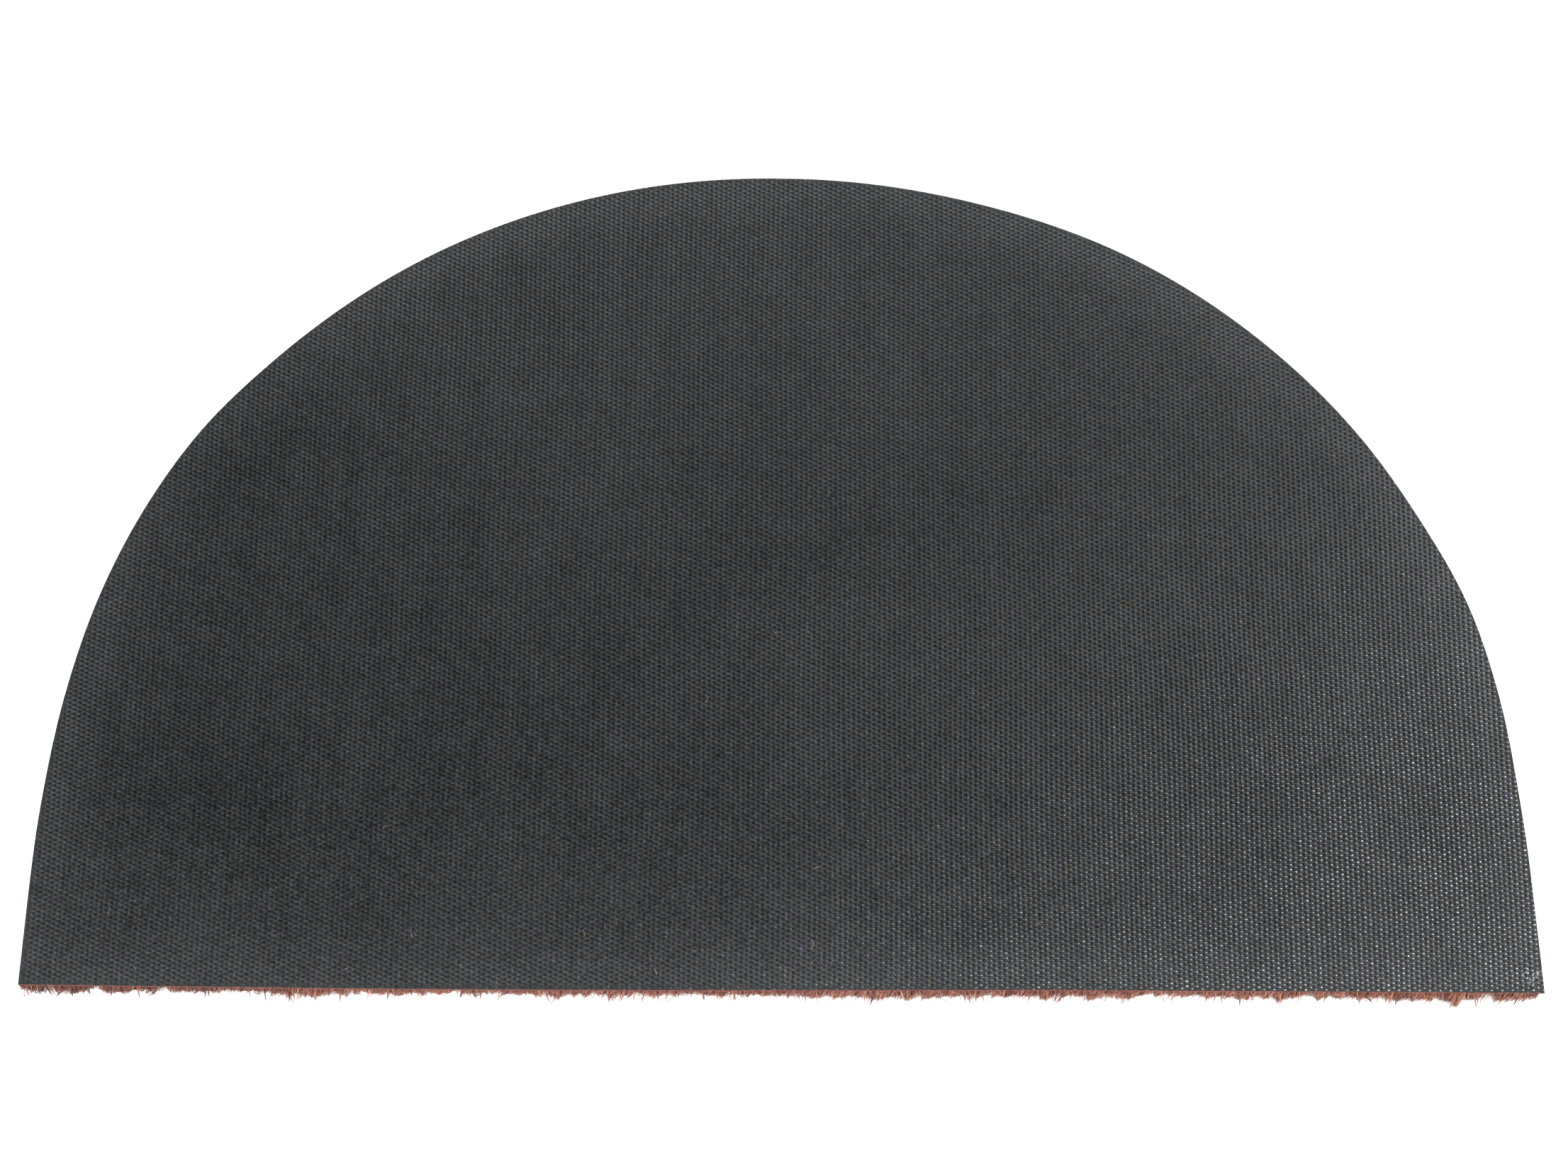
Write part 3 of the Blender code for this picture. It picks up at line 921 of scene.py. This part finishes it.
def spread(draw, bundles, strands, share):
    """Normal numbers, in part shared by the strands of a bundle, as one flat row."""
    own = draw.normal(0, 1, (bundles, strands)) * math.sqrt(1 - share)
    return (own + draw.normal(0, 1, (bundles, 1)) * math.sqrt(share)).ravel()


def tufted(place, draw):
    """How far tips move along the rim to gather in tufts, and how far they then stand out."""
    gather, stand = np.zeros((2, len(place)))
    for width, rise in TUFTS:
        turn = 2 * math.pi * place / (width * MM) + draw.uniform(0, 6)
        gather = gather + np.sin(turn) * width * MM / (2 * math.pi) * TUFT_GATHER
        stand = stand - np.cos(turn) * rise * MM
    return gather, stand


def notched(spots, out):
    """How much less far tips reach out at the bare spots of the straight edge."""
    lost = 0.0
    for spot, half in NOTCHES:
        lost = lost + NOTCH_DEPTH * np.exp(-(np.abs(spots[:, 0] - spot) / half) ** 4)
    return lost * (out[:, 1] < STRAIGHT_OUT)


def curled(root, tip, growth, draw):
    """Paths from roots to tips."""
    number = len(root)
    paths = np.empty((number, growth.points, 3))
    for index, share in enumerate(np.linspace(0, 1, growth.points)):
        sideways = share ** BOW_POWER
        paths[:, index] = root + (tip - root) * (sideways, sideways, share)
        if 0 < share < 1:
            paths[:, index, :2] += draw.normal(0, growth.curl * MM, (number, 2))
            paths[:, index, 2] += draw.normal(0, growth.curl * UPRIGHT_CURL * MM, number)
    paths[:, 1:, 2] = np.minimum(paths[:, 1:, 2], ROOT_HEIGHT - LEAST_DROP)
    return paths


def grown(lane, growth, draw):
    """Paths, widths and shades of the strands of one kind along a lane."""
    bundles, strands = round(lane.length * growth.density), growth.strands
    number = bundles * strands
    place = np.repeat(draw.uniform(0, lane.length, bundles), strands)
    waves = sum(
        np.sin(2 * math.pi * (place / (length * MM)) + draw.uniform(0, 6)) * size
        for length, size in LEAN_WAVES
    )
    deep = np.repeat(growth.depth * draw.random(bundles) ** DEPTH_SKEW, strands) * MM
    deep = np.abs(deep + draw.normal(0, DEPTH_JITTER, number))
    root_place = place + draw.normal(0, ROOT_JITTER, number)
    differ = LEAN_GAIN * (spread(draw, bundles, strands, SHARED["lean"]) + waves)
    lean = growth.lean[0] + growth.lean[1] * differ
    lean = lean * np.clip(np.minimum(place, lane.length - place) / LEAN_START, 0, 1)
    tip_place = place + lean * MM + draw.normal(0, growth.splay * MM, number)
    gather, stand = tufted(tip_place, draw)
    tip_place = np.clip(tip_place + growth.tuft * gather, 0, lane.length)

    root_spot, out, _ = lane.at(np.clip(root_place, 0, lane.length))
    tip_spot, tip_out, reach = lane.at(tip_place)
    reach = reach + growth.tuft * stand - notched(tip_spot, tip_out)
    differ = growth.reach[1] * spread(draw, bundles, strands, SHARED["reach"])
    reach = reach + (growth.reach[0] + differ) * MM - DEPTH_LOSS * deep
    foot = np.abs(spread(draw, bundles, strands, SHARED["foot"])) * growth.foot * MM
    root = np.column_stack([root_spot - out * deep[:, None], np.full(number, ROOT_HEIGHT)])
    tip = np.column_stack([tip_spot + tip_out * reach[:, None], PILE_LOW.z + foot])
    paths = curled(root, tip, growth, draw)

    shades = draw.beta(*SHADE_ENDS, number)
    shades = shades + BUNDLE_SHADE * spread(draw, bundles, strands, SHARED["shade"])
    dark = np.clip((root_spot[:, 0] - DARK_FROM) / (DARK_TO - DARK_FROM), 0, 1)
    shades = shades - DARK_SHADE * dark ** DARK_POWER
    return paths, draw.uniform(*growth.width, number) * MM, np.clip(shades, 0, 1)


# Loose fibres on the sheet: some seen one by one, from the straight edge up, and some more
# that lie within a span to each side, mostly near the straight edge
LOOSE_SEEN = (
    (-0.2146, 0.008), (-0.1815, 0.025), (-0.098, 0.025), (-0.0613, 0.006),
    (-0.0439, 0.019), (-0.0031, 0.188),
)
LOOSE_MORE = 10
LOOSE_SIDEWAYS = 0.33
LOOSE_UP, LOOSE_SKEW, LOOSE_START = 0.22, 1.6, 0.004
LOOSE_LENGTH = (1.2 * MM, 4.5 * MM)
LOOSE_WIDTH = (0.14 * MM, 0.26 * MM)
LOOSE_BEND = 2.4
LOOSE_LIFT = 0.6
LOOSE_SHADES = (0.75, 1.0)
LOOSE_POINTS = 7


def loose_fibres(material, draw):
    """Curved coir fibres that lie loose on the sheet."""
    sideways = draw.uniform(-LOOSE_SIDEWAYS, LOOSE_SIDEWAYS, LOOSE_MORE)
    up = LOOSE_UP * draw.random(LOOSE_MORE) ** LOOSE_SKEW + LOOSE_START
    spots = np.vstack([LOOSE_SEEN, np.column_stack([sideways, up])]) + (0, EDGE_Y)
    number = len(spots)
    turn = draw.uniform(0, 2 * math.pi, number)[:, None]
    bend = draw.uniform(-LOOSE_BEND, LOOSE_BEND, number)[:, None]
    heading = turn + bend * np.linspace(-0.5, 0.5, LOOSE_POINTS)[None]
    step = draw.uniform(*LOOSE_LENGTH, number)[:, None] / (LOOSE_POINTS - 1)
    widths = draw.uniform(*LOOSE_WIDTH, number)
    paths = np.empty((number, LOOSE_POINTS, 3))
    paths[..., 0] = spots[:, :1] + np.cumsum(np.cos(heading), axis=1) * step
    paths[..., 1] = spots[:, 1:] + np.cumsum(np.sin(heading), axis=1) * step
    paths[..., 2] = SHEET_HIGH.z + widths[:, None] * LOOSE_LIFT
    shades = draw.uniform(*LOOSE_SHADES, number)
    return strand_piece("loose_fibres", paths, widths, shades, material)


# The core's height above the floor and inset from the pile's rim there, and its top inset
CORE_RISE = 0.5 * MM
CORE_FOOT_INSET = 6.0 * MM
CORE_TOP_INSET = 3.2 * MM


def make_core(material):
    """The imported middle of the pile, well inside the strands."""
    roots = pile_ring(1.0)
    out = ways_out(roots, blur=5, step=3)
    ring = np.arange(len(roots))
    levels = ((PILE_LOW.z + CORE_RISE, CORE_FOOT_INSET), (PILE_HIGH.z, CORE_TOP_INSET))
    spots = np.vstack([
        np.column_stack([roots - out * inset, np.full(len(roots), height)])
        for height, inset in levels
    ])
    upper = ring + len(roots)
    faces = wall_faces(ring, upper) + [upper.tolist()]
    return new_piece("pile_core", spots, faces, material)


# Stage, lights and camera

FLOOR_RADIUS = 3.0
FLOOR_SIDES = 96
FLOOR_TONE = (0.97, 0.97, 0.97, 1)
FLOOR_ROUGHNESS = 0.9
# The backdrop fades out between these heights of the view's direction, to the sky's level
BACKDROP_RISE = (0.08, 0.16)
BACKDROP_LEVELS = (1.2, 0.03)
# Soft boxes: name, place, width, height and power
LIGHTS = (
    ("key", (1.0, 0.45, 1.8), 1.0, 1.0, 21),
    ("fill_left", (-2.2, -1.6, 2.0), 1.4, 1.4, 122),
    ("fill_right", (2.2, -1.8, 2.0), 1.4, 1.4, 84),
    ("fill_front", (0.0, -2.0, 2.6), 1.6, 1.2, 60),
    ("fill_back", (-0.6, 2.6, 2.2), 1.8, 1.0, 100),
)


def make_floor():
    """A round pale floor, as far out as the lights keep it bright."""
    bpy.ops.mesh.primitive_circle_add(vertices=FLOOR_SIDES, radius=FLOOR_RADIUS, fill_type="NGON")
    floor = bpy.context.object
    floor.name = "floor"
    made, _, shader = new_material("pale_floor")
    shader.inputs["Base Color"].default_value = FLOOR_TONE
    shader.inputs["Roughness"].default_value = FLOOR_ROUGHNESS
    floor.data.materials.append(made)


def make_world():
    """A pale backdrop up to a little over the horizon, and a dark sky for the rubber to mirror."""
    world = bpy.data.worlds.new("studio")
    bpy.context.scene.world = world
    tree = Tree(world)
    height = tree.axes(tree.node("ShaderNodeTexCoord").outputs["Generated"])[2]
    backdrop = tree.nodes["Background"]
    backdrop.inputs["Color"].default_value = (1, 1, 1, 1)
    tree.feed(backdrop.inputs["Strength"], tree.ramp(height, *BACKDROP_RISE, *BACKDROP_LEVELS))


def make_light(name, place, wide, tall, power):
    """A soft box that faces the mat, upright seen from it."""
    data = bpy.data.lights.new(name, "AREA")
    data.shape = "RECTANGLE"
    data.size, data.size_y = wide, tall
    data.energy = power
    light = bpy.data.objects.new(name, data)
    bpy.context.scene.collection.objects.link(light)
    light.location = place
    light.rotation_euler = (-Vector(place)).to_track_quat("-Z", "Y").to_euler()


def make_camera():
    data = bpy.data.cameras.new("camera")
    data.sensor_width = SENSOR_MM
    data.lens = FOCAL_PIXELS / PHOTO_WIDTH * SENSOR_MM
    camera = bpy.data.objects.new("camera", data)
    bpy.context.scene.collection.objects.link(camera)
    aim = Vector((AIM_ALONG, EDGE_Y + AIM_UP_FROM_EDGE, SHEET_HIGH.z))
    back = Vector((0, -math.cos(CAMERA_ELEVATION), math.sin(CAMERA_ELEVATION)))
    camera.matrix_world = (
        Matrix.Translation(aim)
        @ Matrix.Rotation(CAMERA_TURN, 4, "Z")
        @ Matrix.Translation(back * CAMERA_DISTANCE)
        @ Matrix.Rotation(math.pi / 2 - CAMERA_ELEVATION, 4, "X")
    )
    bpy.context.scene.camera = camera


def main():
    bpy.context.scene.view_settings.view_transform = "Standard"
    make_camera()
    make_world()
    make_floor()
    for light in LIGHTS:
        make_light(*light)

    rubber, coir, core = rubber_material(), coir_material(), core_material_with_painted_shade()
    sheet = make_backing(rubber)
    middle = make_core(core)
    draw = np.random.default_rng(SEED)
    edge, round_side = front_lane(), arc_lane()
    front = strand_piece("front_strands", *grown(edge, FRONT_GROWTH, draw), coir)
    strays = strand_piece("front_strays", *grown(edge, STRAY_GROWTH, draw), coir)
    arc = strand_piece("arc_strands", *grown(round_side, ARC_GROWTH, draw), coir)
    loose = loose_fibres(loose_material(), draw)
    spikes = strand_piece("front_spikes", *grown(edge, SPIKE_GROWTH, draw), coir)
    for piece in (sheet, middle, front, strays, arc, loose, spikes):
        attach(piece, "root")
    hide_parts("backing")
    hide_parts("coir_pile")


main()
